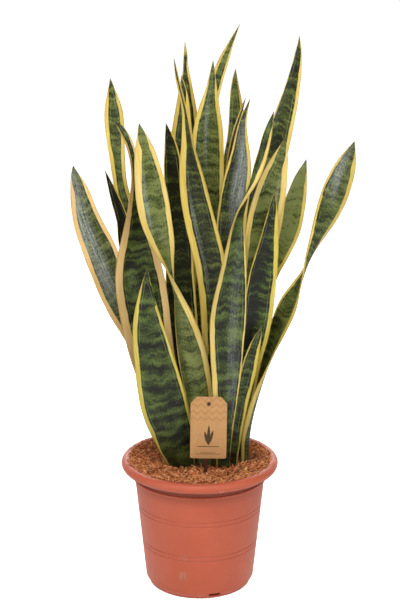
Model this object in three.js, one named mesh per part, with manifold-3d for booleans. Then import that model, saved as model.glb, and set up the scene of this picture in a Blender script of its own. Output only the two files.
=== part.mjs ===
// Potted snake plant: a banded, yellow-edged clump in a round plastic nursery pot.
// Millimetres, +Z up, the pot stands on z = 0 with its axis on Z, and -Y is the front.
import * as THREE from 'three';
import { mergeVertices } from 'three/addons/utils/BufferGeometryUtils.js';
import Module from 'manifold-3d';

// ---- driving dimensions ----

const CLEARANCE = 0.3;            // between any two pieces that touch
const OVERLAP = 0.1;              // between two shapes that are joined into one piece
const ROUND_SEGMENTS = 12;        // around a small pin
const CAP_SEGMENTS = 2;           // over a quarter turn of a round end

const pot = {
  height: 175,
  rimRadius: 105,                 // outermost, on the rolled rim
  beadRadius: 6.5,                // of the rolled rim's round section
  beadFoot: -105,                 // degrees round that section at which the roll begins
  beadSteps: 14,
  collarRadius: 89.4,             // the short upright collar under the rim
  collarDrop: 4,                  // from the roll's underside down to the collar
  collarHeight: 8,
  collarStep: 1,                  // height over which the wall steps out to the collar
  wallTopRadius: 87.4,
  wallFootRadius: 73.2,
  footRadius: 69,
  footEdge: 2,                    // width of the eased edge under the foot
  footRise: 9,                    // height of the rounded corner at the foot
  footBulge: 1,                   // how far that corner stands out of a straight line
  wall: 2.2,
  floor: 2.6,
  ribHeights: [108, 115.5, 55, 61.5],
  ribWidth: 2.4,
  ribDepth: 0.5,
  slots: 4,
  slotWidth: 16,
  slotHeight: 4.6,
  slotDepth: 14,                  // how far a slot reaches in from the foot's edge
  slotTurn: 16,                   // degrees that the front slot stands right of the front
  segments: 72,
};

const soil = {
  belowRim: 7,                    // its surface among the leaves, down from the pot's top
  rimRise: 5,                     // how much higher it is heaped against the rim
  rimCover: 120,                  // degrees round the bead's section to which it laps
  segments: 48,
};

const leaf = {
  buried: 22,                     // how deep the leaves stand in the soil
  marginThickness: 1.2,
  footThickness: 4.6,             // in the middle of the blade, at the foot
  tipThickness: 2.0,              // in the middle of the blade, near the tip
  footCup: 3.5,                   // how far the margins stand forward of the middle
  cupShare: 0.17,                 // the same higher up, as a share of the blade's width
  footShare: 1 / 3,               // of the blade's length, over which the foot's cup gives way
  columns: 5,                     // points across each side of a section
  ringsPerSpan: 2,                // sections between two points of a route
};

const rhizome = {
  radius: 7,
  crown: 4,                       // depth of its middle line under the leaves it carries
  segments: 8,                    // around it
};

const card = {
  width: 47.5,
  height: 85,
  thickness: 0.8,
  chamferX: 8,
  chamferZ: 9,
  footRound: 2.5,
  holeRadius: 1.7,
  holeDrop: 9.5,                  // from the card's top edge to the hole's middle
  tilt: 0.8,                      // degrees, clockwise from the front
  holeHeight: 96,                 // above the soil
  x: 12,
  y: -43,
};

const stake = {
  width: 5,
  thickness: 1.8,
  above: 4,                       // how far it reaches over the peg
  buried: 20,
  lean: 2.7,                      // degrees, clockwise from the front
  tip: 6,                         // length of the pointed end
  tipWidth: 1,
  headRadius: 2.3,
  headThickness: 0.9,
};

const soilTop = pot.height - soil.belowRim;

// Each route runs from the soil to the tip: x, y, height above the soil, blade width, the way
// the hollow side faces, in degrees from the front (90 is +X, 180 the back), and, where the
// blade isn't folded as usual, how far its margins stand forward of its middle.
const leaves = {
  leaf_left_low: [
    [-33, 3, 0, 24, 0], [-41, 9, 80, 31, 6], [-64, 12, 146, 38, 10], [-106, 12, 222, 44, 12],
    [-132, 12, 291, 43, 15], [-147, 12, 327, 36, 15], [-155, 12, 366, 24, 15],
    [-160, 12, 385, 12, 15], [-162, 12, 399, 0, 15],
  ],
  leaf_left_tall: [
    [-28, 42, 0, 24, 0], [-62, 48, 212, 30, -5], [-100, 50, 350, 20, -10],
    [-106, 50, 390, 18, -10], [-109, 50, 439, 26, -10], [-111, 50, 470, 22, -10],
    [-115, 50, 506, 0, -10],
  ],
  leaf_left_dark: [
    [-26, 14, 0, 24, 0], [-55, 22, 162, 34, -10], [-94, 26, 293, 24, -20],
    [-98, 26, 322, 18, -25], [-109, 26, 356, 13, -30], [-123, 26, 392, 0, -40],
  ],
  leaf_left_broad: [
    [-26, -9, 0, 30, 0], [-37, -5, 62, 42, 4], [-62, -1, 143, 57, 8], [-77, -4, 232, 67, 15],
    [-83, -6, 278, 60, 22], [-82, -9, 344, 28, 32], [-82, -11, 392, 14, 45],
    [-89, -12, 429, 12, 45], [-99, -12, 449, 8, 45], [-107, -12, 459, 0, 45],
  ],
  leaf_left_front: [
    [-24, -22, 0, 36, 180], [-27, -27, 17, 44, 180], [-35, -33, 48, 55, 180],
    [-47, -40, 90, 62, 180], [-57, -44, 145, 53, 180], [-66, -47, 196, 41, 180],
    [-68, -49, 240, 21, 180], [-66, -50, 279, 0, 180],
  ],
  leaf_twisted_left: [
    [9, -18, 0, 24, 180], [5, -22, 62, 32, 180], [-9, -28, 147, 40, 172],
    [-18, -32, 191, 32, 160], [-26, -34, 222, 27, 135], [-37, -36, 261, 22, 90],
    [-46, -36, 292, 33, 55], [-56, -35, 333, 40, 20], [-61, -34, 373, 40, 5],
    [-68, -34, 424, 26, 0], [-75, -34, 459, 0, 0],
  ],
  leaf_middle_dark: [
    [-4, 5, 0, 24, 0], [-9, 4, 72, 28, 4], [-24, 6, 197, 40, 8], [-27, 8, 262, 37, 10],
    [-26, 8, 304, 30, 12],
    [-35, 8, 390, 25, 15], [-37, 8, 424, 17, 15], [-43, 8, 454, 0, 15],
  ],
  leaf_middle: [
    [10, -6, 0, 24, 0], [18, -8, 67, 30, 0], [23, -10, 173, 38, -5], [17, -12, 269, 40, -10],
    [0, -13, 340, 40, -15], [-9, -14, 399, 33, -30], [-12, -14, 431, 23, -50],
    [-17, -15, 473, 13, -65], [-25, -16, 504, 9, -62], [-32, -16, 538, 0, -60],
  ],
  leaf_back_yellow_tip: [
    [-2, 39, 0, 24, 0], [-4, 45, 162, 30, 0], [-8, 48, 312, 32, 0], [-13, 45, 430, 26, 0],
    [-15, 43, 475, 20, 0], [-18, 41, 515, 8, 5], [-18, 40, 539, 4, 10], [-19, 40, 554, 0, 10],
  ],
  leaf_back_left: [
    [-17, 30, 0, 24, 0], [-21, 32, 132, 32, 4], [-25, 32, 272, 34, 8], [-24, 31, 406, 31, 12],
    [-24, 30, 444, 26, 15], [-22, 29, 483, 15, 20], [-23, 29, 512, 0, 20],
  ],
  leaf_middle_tall: [
    [0, 21, 0, 24, 0], [6, 20, 132, 34, 0], [10, 19, 262, 38, -3], [10, 19, 380, 43, -4],
    [11, 19, 433, 40, -5], [12, 19, 463, 31, -5], [15, 19, 491, 16, -5], [17, 19, 532, 0, -5],
  ],
  leaf_twisted_right: [
    [31, -20, 0, 18, 0], [31, -22, 27, 20, 0], [32, -28, 71, 27, 0], [34, -36, 128, 36, 2],
    [34, -42, 177, 43, 5], [35, -44, 224, 46, 12], [40, -44, 276, 36, 28],
    [43, -42, 320, 28, 45], [48, -40, 348, 24, 65], [60, -37, 375, 19, 95],
    [69, -35, 396, 16, 125], [78, -33, 421, 13, 155], [84, -32, 446, 11, 165],
    [92, -31, 474, 0, 170],
  ],
  leaf_right: [
    [38, 7, 0, 22, 0], [45, 1, 62, 30, 0], [55, -5, 132, 37, 0], [70, -11, 222, 39, 0],
    [78, -14, 302, 42, 0], [84, -15, 342, 44, 0], [94, -16, 389, 33, 0],
    [103, -16, 419, 16, 0], [107, -16, 438, 0, 0],
  ],
  leaf_right_hollow: [
    [42, 0, 0, 16, 0], [45, -5, 47, 18, 4], [56, -16, 117, 26, 5], [71, -24, 184, 36, 8],
    [76, -27, 236, 38, 10], [80, -29, 270, 36, 12], [86, -30, 305, 26, 15],
    [91, -30, 344, 14, 15], [94, -30, 374, 0, 15],
  ],
  leaf_middle_shiny: [
    [18, 15, 0, 24, 0], [27, 9, 132, 34, 0], [38, 5, 262, 38, 0], [42, 4, 340, 38, -4],
    [49, 4, 385, 34, -7], [53, 4, 419, 23, -10], [54, 4, 454, 10, -10], [64, 4, 486, 0, -10],
  ],
  leaf_right_low: [
    [48, 22, 0, 22, 0], [57, 25, 72, 28, 0], [69, 20, 152, 34, 0], [83, 11, 248, 30, 0],
    [97, 7, 281, 32, -2],
    [112, 6, 316, 35, -4], [122, 6, 350, 28, -5], [129, 6, 383, 17, -5],
    [136, 6, 408, 0, -5],
  ],
  leaf_right_short: [
    [43, -12, 0, 14, 0], [45, -16, 32, 17, 2], [54, -24, 90, 17, 4], [59, -29, 120, 19, 6],
    [65, -33, 151, 19, 8], [72, -36, 178, 13, 10], [80, -38, 200, 0, 10],
  ],
  leaf_far_right: [
    [64, 4, 0, 20, -110, 5], [66, 2, 41, 24, -110, 6], [74, -4, 82, 28, -105, 6],
    [85, -10, 124, 30, -90], [98, -14, 166, 32, -70], [110, -16, 200, 33, -55],
    [121, -16, 229, 30, -55], [133, -15, 260, 15, -80], [140, -14, 280, 16, -115],
    [154, -12, 313, 25, -145], [168, -10, 346, 36, -160], [177, -9, 373, 37, -165],
    [187, -8, 405, 25, -170], [195, -8, 433, 0, -170],
  ],
  leaf_back_right: [
    [44, 38, 0, 24, 0], [53, 39, 132, 34, 0], [69, 34, 252, 42, 0], [83, 32, 359, 38, 0],
    [93, 32, 398, 35, 0], [102, 32, 434, 31, 0], [110, 32, 463, 26, 0],
    [119, 32, 500, 18, 0], [125, 32, 537, 9, 0], [126, 32, 561, 0, 0],
  ],
  leaf_back_tall: [
    [2, 53, 0, 22, 0], [4, 61, 252, 32, 0], [8, 63, 440, 20, 5], [20, 63, 496, 16, 5],
    [30, 63, 526, 13, 10], [41, 63, 552, 6, 15], [52, 63, 574, 0, 20],
  ],
  leaf_back_grey: [
    [28, 50, 0, 22, 0], [36, 50, 332, 30, -5], [48, 50, 429, 23, -10], [48.5, 50, 461, 19, -15],
    [46, 50, 494, 12, -20], [46, 50, 518, 0, -20],
  ],
  leaf_back_thin: [
    [21, 40, 0, 16, 0], [26, 38, 232, 24, 30], [35, 28, 381, 18, 55], [38, 27, 413, 16, 60],
    [44, 24, 443, 13, 65], [51, 21, 465, 8, 70], [59, 20, 486, 0, 70],
  ],
};

// Which leaves each rhizome carries, in order along it.
const rhizomes = {
  rhizome_left: ['leaf_left_front', 'leaf_left_broad', 'leaf_left_low', 'leaf_left_dark'],
  rhizome_middle: ['leaf_twisted_left', 'leaf_middle', 'leaf_middle_dark'],
  rhizome_right: ['leaf_twisted_right', 'leaf_right_short', 'leaf_right_hollow', 'leaf_far_right',
    'leaf_right', 'leaf_right_low'],
  rhizome_back: ['leaf_left_tall', 'leaf_back_left', 'leaf_back_yellow_tip', 'leaf_back_tall',
    'leaf_back_grey', 'leaf_back_right', 'leaf_back_thin', 'leaf_middle_shiny',
    'leaf_middle_tall'],
};

// ---- materials ----

const finish = (color, roughness) => new THREE.MeshStandardMaterial({ color, roughness, metalness: 0 });
const materials = {
  terracottaPlastic: finish('#c4644a', 0.55),
  coir: finish('#a0603a', 0.95),
  leafFlesh: finish('#4a5a2c', 0.4),
  rhizomeSkin: finish('#b98a4e', 0.7),
  kraftCard: finish('#c79c6a', 0.85),
  brownPlastic: finish('#4a2216', 0.5),
};

// ---- solids ----

const manifold = await Module();
manifold.setup();
const { Manifold, Mesh } = manifold;
const radians = THREE.MathUtils.degToRad;

/** A manifold-3d solid from a closed three.js geometry. */
function solidFrom(geometry) {
  const bare = new THREE.BufferGeometry();
  bare.setAttribute('position', geometry.getAttribute('position'));
  if (geometry.index) bare.setIndex(geometry.index);
  const merged = mergeVertices(bare, 1e-4);
  return new Manifold(new Mesh({
    numProp: 3,
    vertProperties: new Float32Array(merged.getAttribute('position').array),
    triVerts: new Uint32Array(merged.index.array),
  }));
}

/** A three.js geometry from a manifold-3d solid. */
function geometryFrom(solid) {
  const mesh = solid.getMesh();
  const geometry = new THREE.BufferGeometry();
  geometry.setAttribute('position', new THREE.BufferAttribute(mesh.vertProperties, 3));
  geometry.setIndex(new THREE.BufferAttribute(mesh.triVerts, 1));
  geometry.computeVertexNormals();
  return geometry;
}

/** A solid of revolution about Z from an outline of [radius, height], foot to top. */
function turned(outline, segments) {
  const points = outline.map(([radius, height]) => new THREE.Vector2(radius, height));
  const geometry = new THREE.LatheGeometry(points, segments);
  geometry.rotateX(Math.PI / 2);
  return geometry;
}

/** Points of an arc about [x, z], with angles in degrees from +X. */
function arc([x, z], radius, from, to, steps) {
  return Array.from({ length: steps + 1 }, (_, step) => {
    const angle = radians(from + ((to - from) * step) / steps);
    return [x + radius * Math.cos(angle), z + radius * Math.sin(angle)];
  });
}

// ---- pot ----

const beadMiddle = [pot.rimRadius - pot.beadRadius, pot.height - pot.beadRadius];
const collarTop = beadMiddle[1] - pot.beadRadius - pot.collarDrop;
const wallTop = collarTop - pot.collarHeight;

/** Outer radius of the pot's tapered wall at a height. */
function wallRadius(height) {
  const share = (height - pot.footRise) / (wallTop - pot.footRise);
  return THREE.MathUtils.lerp(pot.wallFootRadius, pot.wallTopRadius, share);
}

function potGeometry() {
  const ribs = [...pot.ribHeights].sort((a, b) => a - b).flatMap((height) => [
    [wallRadius(height - pot.ribWidth / 2), height - pot.ribWidth / 2],
    [wallRadius(height) + pot.ribDepth, height],
    [wallRadius(height + pot.ribWidth / 2), height + pot.ribWidth / 2],
  ]);
  const inside = beadMiddle[0] - pot.beadRadius;
  const innerCorner = pot.floor + pot.footRise;
  const outline = [
    [0, 0],
    [pot.footRadius - pot.footEdge, 0],
    [pot.footRadius, pot.footEdge / 2],
    [(pot.footRadius + pot.wallFootRadius) / 2 + pot.footBulge, pot.footRise / 2],
    [pot.wallFootRadius, pot.footRise],
    ...ribs,
    [pot.wallTopRadius, wallTop - pot.collarStep],
    [pot.collarRadius, wallTop],
    [pot.collarRadius, collarTop],
    ...arc(beadMiddle, pot.beadRadius, pot.beadFoot, 180, pot.beadSteps),
    [inside, beadMiddle[1] - pot.beadRadius / 2],
    [pot.collarRadius - pot.wall, collarTop],
    [pot.collarRadius - pot.wall, wallTop],
    [pot.wallTopRadius - pot.wall, wallTop - 2 * pot.collarStep],
    [wallRadius(innerCorner) - pot.wall, innerCorner],
    [pot.footRadius - pot.wall, pot.floor],
    [0, pot.floor],
  ];
  let solid = solidFrom(turned(outline, pot.segments));
  for (let index = 0; index < pot.slots; index += 1) {
    const slot = new THREE.BoxGeometry(2 * pot.slotDepth, pot.slotWidth, 2 * pot.slotHeight);
    slot.translate(pot.footRadius, 0, 0);
    slot.rotateZ(radians(pot.slotTurn - 90 + (360 * index) / pot.slots));
    solid = solid.subtract(solidFrom(slot));
  }
  return geometryFrom(solid);
}

// ---- leaves ----

/** One section's points around the blade: the hollow side, then the round side. */
function bladeSection({ middle, along, width, face, cup, share, grow }) {
  const facing = new THREE.Vector3(Math.sin(radians(face)), -Math.cos(radians(face)), 0);
  const across = along.clone().cross(facing).normalize();
  const normal = across.clone().cross(along);
  const thickest = THREE.MathUtils.lerp(leaf.footThickness, leaf.tipThickness, share);
  const margin = Math.min(leaf.marginThickness, thickest);
  const half = width / 2 + grow;
  const side = (sign) => Array.from({ length: leaf.columns }, (_, column) => {
    const u = sign * ((2 * column) / (leaf.columns - 1) - 1);
    const thickness = margin + (thickest - margin) * (1 - u * u) + 2 * grow;
    return middle.clone()
      .addScaledVector(across, u * half)
      .addScaledVector(normal, cup * u * u + (sign * thickness) / 2);
  });
  return [...side(1), ...side(-1)];
}

/** A closed blade along a route; grow makes it larger all round, for the hole it stands in. */
function bladeGeometry(route, grow = 0) {
  const foot = [...route[0]];
  foot[2] = -leaf.buried;
  const rows = [foot, ...route];
  const length = route.at(-1)[2] + leaf.buried;
  const shareAt = (height) => (height + leaf.buried) / length;
  const usualCup = (height, width) => {
    const rise = Math.min(1, shareAt(height) / leaf.footShare);
    return THREE.MathUtils.lerp(leaf.footCup, width * leaf.cupShare, rise);
  };
  const middles = rows.map(([x, y, height]) => new THREE.Vector3(x, y, soilTop + height));
  const shapes = rows.map(([, , height, width, face, cup = usualCup(height, width)]) => (
    new THREE.Vector3(width, face, cup)
  ));
  const line = new THREE.CatmullRomCurve3(middles, false, 'centripetal');
  const shape = new THREE.CatmullRomCurve3(shapes, false, 'catmullrom', 0.5);
  const ringCount = (rows.length - 1) * leaf.ringsPerSpan;
  const points = [];
  for (let ring = 0; ring < ringCount; ring += 1) {
    const t = ring / ringCount;
    const { x: width, y: face, z: cup } = shape.getPoint(t);
    const middle = line.getPoint(t);
    const share = shareAt(middle.z - soilTop);
    const along = line.getTangent(t);
    if (ring === 0) middle.z -= grow;
    points.push(...bladeSection({ middle, along, width, face, cup, share, grow }));
  }
  const tip = line.getPoint(1).addScaledVector(line.getTangent(1), grow);
  points.push(tip);
  return meshFromRings(points, ringCount, 2 * leaf.columns);
}

/** Skin over rings of equal size that end in one tip point, with the first ring closed flat. */
function meshFromRings(points, ringCount, size) {
  const faces = [];
  const quad = (a, b, c, d) => faces.push(a, b, c, a, c, d);
  for (let ring = 0; ring + 1 < ringCount; ring += 1) {
    for (let step = 0; step < size; step += 1) {
      const next = (step + 1) % size;
      const low = ring * size;
      quad(low + step, low + next, low + size + next, low + size + step);
    }
  }
  const last = (ringCount - 1) * size;
  for (let step = 0; step < size; step += 1) {
    faces.push(last + step, last + ((step + 1) % size), points.length - 1);
  }
  for (let step = 0; step + 1 < size / 2; step += 1) {
    quad(size - 1 - step, size - 2 - step, step + 1, step);
  }
  const geometry = new THREE.BufferGeometry().setFromPoints(points);
  geometry.setIndex(faces);
  geometry.computeVertexNormals();
  return geometry;
}

// ---- rhizomes ----

/** A jointed root stock under its leaves, flat on top where they grow from it. */
function rhizomeSolid(names, grow = 0) {
  const seat = soilTop - leaf.buried - CLEARANCE;
  const radius = rhizome.radius + grow;
  const joints = names.map((name) => {
    const [x, y] = leaves[name][0];
    return new THREE.Vector3(x, y, seat - rhizome.crown);
  });
  const lengths = joints.slice(1).map((end, index) => {
    const run = end.clone().sub(joints[index]);
    const middle = joints[index].clone().addScaledVector(run, 0.5);
    const length = new THREE.CapsuleGeometry(radius, run.length(), CAP_SEGMENTS, rhizome.segments);
    length.rotateZ(Math.atan2(run.y, run.x) - Math.PI / 2);
    return solidFrom(length.translate(middle.x, middle.y, middle.z));
  });
  const above = new THREE.BoxGeometry(2 * pot.rimRadius, 2 * pot.rimRadius, 2 * radius);
  above.translate(0, 0, seat + grow + radius);
  return lengths.reduce((sum, solid) => sum.add(solid)).subtract(solidFrom(above));
}

// ---- label ----

function cardGeometry() {
  const { width, height, chamferX, chamferZ, footRound, holeDrop } = card;
  const top = holeDrop;
  const bottom = holeDrop - height;
  const side = width / 2;
  const outline = new THREE.Shape();
  outline.moveTo(-side + footRound, bottom);
  outline.lineTo(side - footRound, bottom);
  outline.absarc(side - footRound, bottom + footRound, footRound, -Math.PI / 2, 0, false);
  outline.lineTo(side, top - chamferZ);
  outline.lineTo(side - chamferX, top);
  outline.lineTo(-side + chamferX, top);
  outline.lineTo(-side, top - chamferZ);
  outline.lineTo(-side, bottom + footRound);
  outline.absarc(-side + footRound, bottom + footRound, footRound, Math.PI, Math.PI * 1.5, false);
  const hole = new THREE.Path();
  hole.absarc(0, 0, card.holeRadius, 0, Math.PI * 2, true);
  outline.holes.push(hole);
  const geometry = new THREE.ExtrudeGeometry(outline, {
    depth: card.thickness, bevelEnabled: false, curveSegments: 6,
  });
  geometry.rotateX(Math.PI / 2);
  geometry.translate(0, card.thickness, 0);
  return geometry;
}

/** The stake hangs from its peg's middle, which is the origin; the card's front is y = 0. */
function stakeSolid(grow = 0) {
  const back = card.thickness + CLEARANCE;
  const length = card.holeHeight / Math.cos(radians(stake.lean)) + stake.buried + stake.above;
  const bottom = stake.above - length;
  const side = stake.width / 2 + grow;
  const point = stake.tipWidth / 2 + grow;
  const outline = new THREE.Shape([
    new THREE.Vector2(-point, bottom - grow),
    new THREE.Vector2(point, bottom - grow),
    new THREE.Vector2(side, bottom + stake.tip),
    new THREE.Vector2(side, stake.above),
    new THREE.Vector2(-side, stake.above),
    new THREE.Vector2(-side, bottom + stake.tip),
  ]);
  const depth = stake.thickness + 2 * grow;
  const blade = new THREE.ExtrudeGeometry(outline, { depth, bevelEnabled: false });
  blade.rotateX(Math.PI / 2);
  blade.translate(0, back - grow + depth, 0);
  if (grow > 0) return solidFrom(blade);
  const { headRadius, headThickness } = stake;
  const pegRadius = card.holeRadius - CLEARANCE;
  const pegLength = back + CLEARANCE + 2 * OVERLAP;
  const peg = new THREE.CylinderGeometry(pegRadius, pegRadius, pegLength, ROUND_SEGMENTS);
  peg.translate(0, pegLength / 2 - CLEARANCE - OVERLAP, 0);
  const head = new THREE.CylinderGeometry(headRadius, headRadius, headThickness, ROUND_SEGMENTS);
  head.translate(0, -CLEARANCE - headThickness / 2, 0);
  return solidFrom(blade).add(solidFrom(peg)).add(solidFrom(head));
}

const labelPlace = [card.x, card.y, soilTop + card.holeHeight];

// ---- soil ----

function soilGeometry() {
  const gap = CLEARANCE;
  const feet = Object.values(leaves).map(([[x, y]]) => Math.hypot(x, y));
  const clumpRadius = Math.max(...feet);
  const bottom = pot.floor + gap;
  const innerCorner = pot.floor + pot.footRise;
  const outline = [
    [0, bottom],
    [pot.footRadius - pot.wall - 2 * gap, bottom],
    [wallRadius(innerCorner) - pot.wall - gap, innerCorner + gap],
    [pot.wallTopRadius - pot.wall - gap, wallTop - 2 * pot.collarStep],
    [pot.collarRadius - pot.wall - gap, wallTop + gap],
    [pot.collarRadius - pot.wall - gap, collarTop],
    [beadMiddle[0] - pot.beadRadius - gap, beadMiddle[1] - pot.beadRadius / 2],
    ...arc(beadMiddle, pot.beadRadius + gap, 180, soil.rimCover, 4),
    [beadMiddle[0] - pot.beadRadius - soil.rimRise, soilTop + soil.rimRise],
    [clumpRadius, soilTop],
    [0, soilTop],
  ];
  let solid = solidFrom(turned(outline, soil.segments));
  const holes = Object.values(leaves).map((route) => solidFrom(bladeGeometry(route, gap)));
  const stocks = Object.values(rhizomes).map((names) => rhizomeSolid(names, gap));
  const stakeHole = stakeSolid(gap).rotate([0, stake.lean, 0]).translate(labelPlace);
  for (const hole of [...holes, ...stocks, stakeHole]) solid = solid.subtract(hole);
  return geometryFrom(solid);
}

// ---- assembly ----

function named(name, geometry, material) {
  const mesh = new THREE.Mesh(geometry, material.clone());
  mesh.name = name;
  return mesh;
}

function labelGroup() {
  const group = new THREE.Group();
  group.position.set(...labelPlace);
  const cardMesh = named('label_card', cardGeometry(), materials.kraftCard);
  cardMesh.rotation.y = radians(card.tilt);
  const stakeMesh = named('label_stake', geometryFrom(stakeSolid()), materials.brownPlastic);
  stakeMesh.rotation.y = radians(stake.lean);
  group.add(cardMesh, stakeMesh);
  return group;
}

const plant = new THREE.Group();
plant.add(named('pot', potGeometry(), materials.terracottaPlastic));
plant.add(named('soil', soilGeometry(), materials.coir));
for (const [name, carried] of Object.entries(rhizomes)) {
  plant.add(named(name, geometryFrom(rhizomeSolid(carried)), materials.rhizomeSkin));
}
for (const [name, route] of Object.entries(leaves)) {
  plant.add(named(name, bladeGeometry(route), materials.leafFlesh));
}
plant.add(labelGroup());

export default plant;
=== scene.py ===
"""A potted snake plant: yellow-edged, banded leaves in coir, in a moulded nursery pot.

Metres, +Z up, the front is -Y. The leaves, pot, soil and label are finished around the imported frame.
"""
import math
import random

import bmesh
import bpy
import numpy as np
from mathutils import Matrix, Vector, noise


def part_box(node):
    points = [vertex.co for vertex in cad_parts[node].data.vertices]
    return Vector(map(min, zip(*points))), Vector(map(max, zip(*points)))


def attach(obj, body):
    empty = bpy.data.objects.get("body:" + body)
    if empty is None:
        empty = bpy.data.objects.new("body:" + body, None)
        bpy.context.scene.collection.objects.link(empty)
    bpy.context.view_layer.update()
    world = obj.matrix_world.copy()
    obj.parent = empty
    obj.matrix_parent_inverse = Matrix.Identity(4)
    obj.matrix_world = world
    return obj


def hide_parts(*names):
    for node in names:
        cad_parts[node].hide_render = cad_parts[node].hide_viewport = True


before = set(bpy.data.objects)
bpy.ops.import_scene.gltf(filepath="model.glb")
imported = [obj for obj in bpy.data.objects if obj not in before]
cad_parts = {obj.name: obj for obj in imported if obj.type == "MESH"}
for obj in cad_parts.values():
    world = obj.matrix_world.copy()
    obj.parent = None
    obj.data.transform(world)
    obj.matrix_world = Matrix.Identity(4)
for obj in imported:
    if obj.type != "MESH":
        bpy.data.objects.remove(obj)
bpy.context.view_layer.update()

MM = 0.001
SEED = 11
GLOW_FROM = 68.6 * MM               # the floor glows beyond the pot's foot


# ---- camera, light and floor ----

def set_camera():
    """A long lens in front of the plant, a little above it and looking down."""
    data = bpy.data.cameras.new("camera")
    data.lens = 80.9
    data.sensor_width = 36
    camera = bpy.data.objects.new("camera", data)
    bpy.context.scene.collection.objects.link(camera)
    camera.location = (0.0004, -1.7, 0.836)
    camera.rotation_euler = (math.radians(90 - 14.64), 0, 0)
    bpy.context.scene.camera = camera


def softbox(name, place, target, width, height, power, colour):
    """A studio softbox that faces its target."""
    data = bpy.data.lights.new(name, "AREA")
    data.shape = "RECTANGLE"
    data.size = width
    data.size_y = height
    data.energy = power
    data.color = colour
    light = bpy.data.objects.new(name, data)
    bpy.context.scene.collection.objects.link(light)
    light.location = place
    light.rotation_euler = (Vector(target) - Vector(place)).to_track_quat("-Z", "Y").to_euler()


def set_light():
    """Two tall softboxes at the front, one overhead, one behind, and white walls all round."""
    middle = (0, 0, 0.38)
    softbox("softbox_left", (-1.4, -1.2, 0.9), middle, 0.35, 1.4, 10, (0.94, 0.97, 1.0))
    softbox("softbox_right", (1.4, -1.3, 0.9), middle, 0.35, 1.4, 9, (0.94, 0.97, 1.0))
    softbox("softbox_top", (0.0, -1.3, 1.85), middle, 1.3, 0.6, 24, (1.0, 0.98, 0.95))
    softbox("softbox_back", (0.0, 1.7, 1.1), middle, 1.6, 1.0, 16, (1.0, 0.99, 0.97))
    world = bpy.data.worlds.new("white_room")
    bpy.context.scene.world = world
    world.use_nodes = True
    tree = world.node_tree
    tree.nodes.clear()
    walls = add(tree, "ShaderNodeBackground", {"Color": (1, 1, 1, 1), "Strength": 0.2})
    backdrop = add(tree, "ShaderNodeBackground", {"Color": (1, 1, 1, 1), "Strength": 1.05})
    seen = add(tree, "ShaderNodeLightPath")
    way = add(tree, "ShaderNodeSeparateXYZ", {
        0: add(tree, "ShaderNodeTexCoord").outputs["Generated"]})
    behind = add(tree, "ShaderNodeMapRange", {
        "Value": way.outputs["Y"], "From Min": 0.3, "From Max": 0.6, "To Max": 0.8})
    mirrored = add(tree, "ShaderNodeMath", {
        0: behind, 1: seen.outputs["Is Glossy Ray"]}, operation="MULTIPLY")
    both = add(tree, "ShaderNodeMixShader", {
        "Fac": add(tree, "ShaderNodeMath", {
            0: seen.outputs["Is Camera Ray"], 1: mirrored}, operation="MAXIMUM"),
        1: walls, 2: backdrop,
    })
    add(tree, "ShaderNodeOutputWorld", {"Surface": both})
    bpy.context.scene.view_settings.view_transform = "Standard"


def lay_floor():
    """A plain pale floor, bright as a light table."""
    bpy.ops.object.select_all(action="DESELECT")
    bpy.ops.mesh.primitive_plane_add(size=14, location=(0, 0, 0))
    floor = bpy.context.object
    floor.name = "floor"
    material, tree, shader = new_material("white_light_table")
    shader.inputs["Base Color"].default_value = colour("#f4f4f2")
    shader.inputs["Roughness"].default_value = 0.9
    shader.inputs["Emission Color"].default_value = (1, 1, 1, 1)
    away = add(tree, "ShaderNodeVectorMath", {
        0: add(tree, "ShaderNodeNewGeometry").outputs["Position"]}, operation="LENGTH")
    beyond = add(tree, "ShaderNodeMath", {0: away.outputs["Value"], 1: GLOW_FROM},
                 operation="GREATER_THAN")
    glow = add(tree, "ShaderNodeMath", {
        0: add(tree, "ShaderNodeLightPath").outputs["Is Camera Ray"], 1: beyond},
        operation="MULTIPLY")
    tree.links.new(glow.outputs[0], shader.inputs["Emission Strength"])
    floor.data.materials.append(material)


# ---- helpers ----

def colour(text):
    """Linear colour from an sRGB hex value."""
    parts = [int(text[i:i + 2], 16) / 255 for i in (1, 3, 5)]
    linear = [c / 12.92 if c <= 0.04045 else ((c + 0.055) / 1.055) ** 2.4 for c in parts]
    return (*linear, 1.0)


def add(tree, kind, inputs=None, stops=None, **settings):
    """Adds a node with its settings, its colour stops, and its inputs as values, nodes or sockets."""
    node = tree.nodes.new(kind)
    for name, value in settings.items():
        setattr(node, name, value)
    if stops:
        elements = node.color_ramp.elements
        while len(elements) < len(stops):
            elements.new(0.5)
        for element, (position, value) in zip(elements, stops):
            element.position = position
            element.color = colour(value) if isinstance(value, str) else (value, value, value, 1)
    for name, value in (inputs or {}).items():
        if isinstance(value, bpy.types.Node):
            value = value.outputs[0]
        if isinstance(value, bpy.types.NodeSocket):
            tree.links.new(value, node.inputs[name])
        else:
            node.inputs[name].default_value = value
    return node


def new_material(name):
    """An empty material with its shader and output joined."""
    material = bpy.data.materials.new(name)
    material.use_nodes = True
    tree = material.node_tree
    tree.nodes.clear()
    shader = add(tree, "ShaderNodeBsdfPrincipled")
    add(tree, "ShaderNodeOutputMaterial", {"Surface": shader})
    return material, tree, shader


def only(piece):
    """Selects this piece and nothing else."""
    bpy.ops.object.select_all(action="DESELECT")
    piece.select_set(True)
    bpy.context.view_layer.objects.active = piece


def use_modifier(piece, kind, **settings):
    """Adds a modifier and applies it."""
    only(piece)
    modifier = piece.modifiers.new(kind.lower(), kind)
    for name, value in settings.items():
        setattr(modifier, name, value)
    bpy.ops.object.modifier_apply(modifier=modifier.name)


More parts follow.
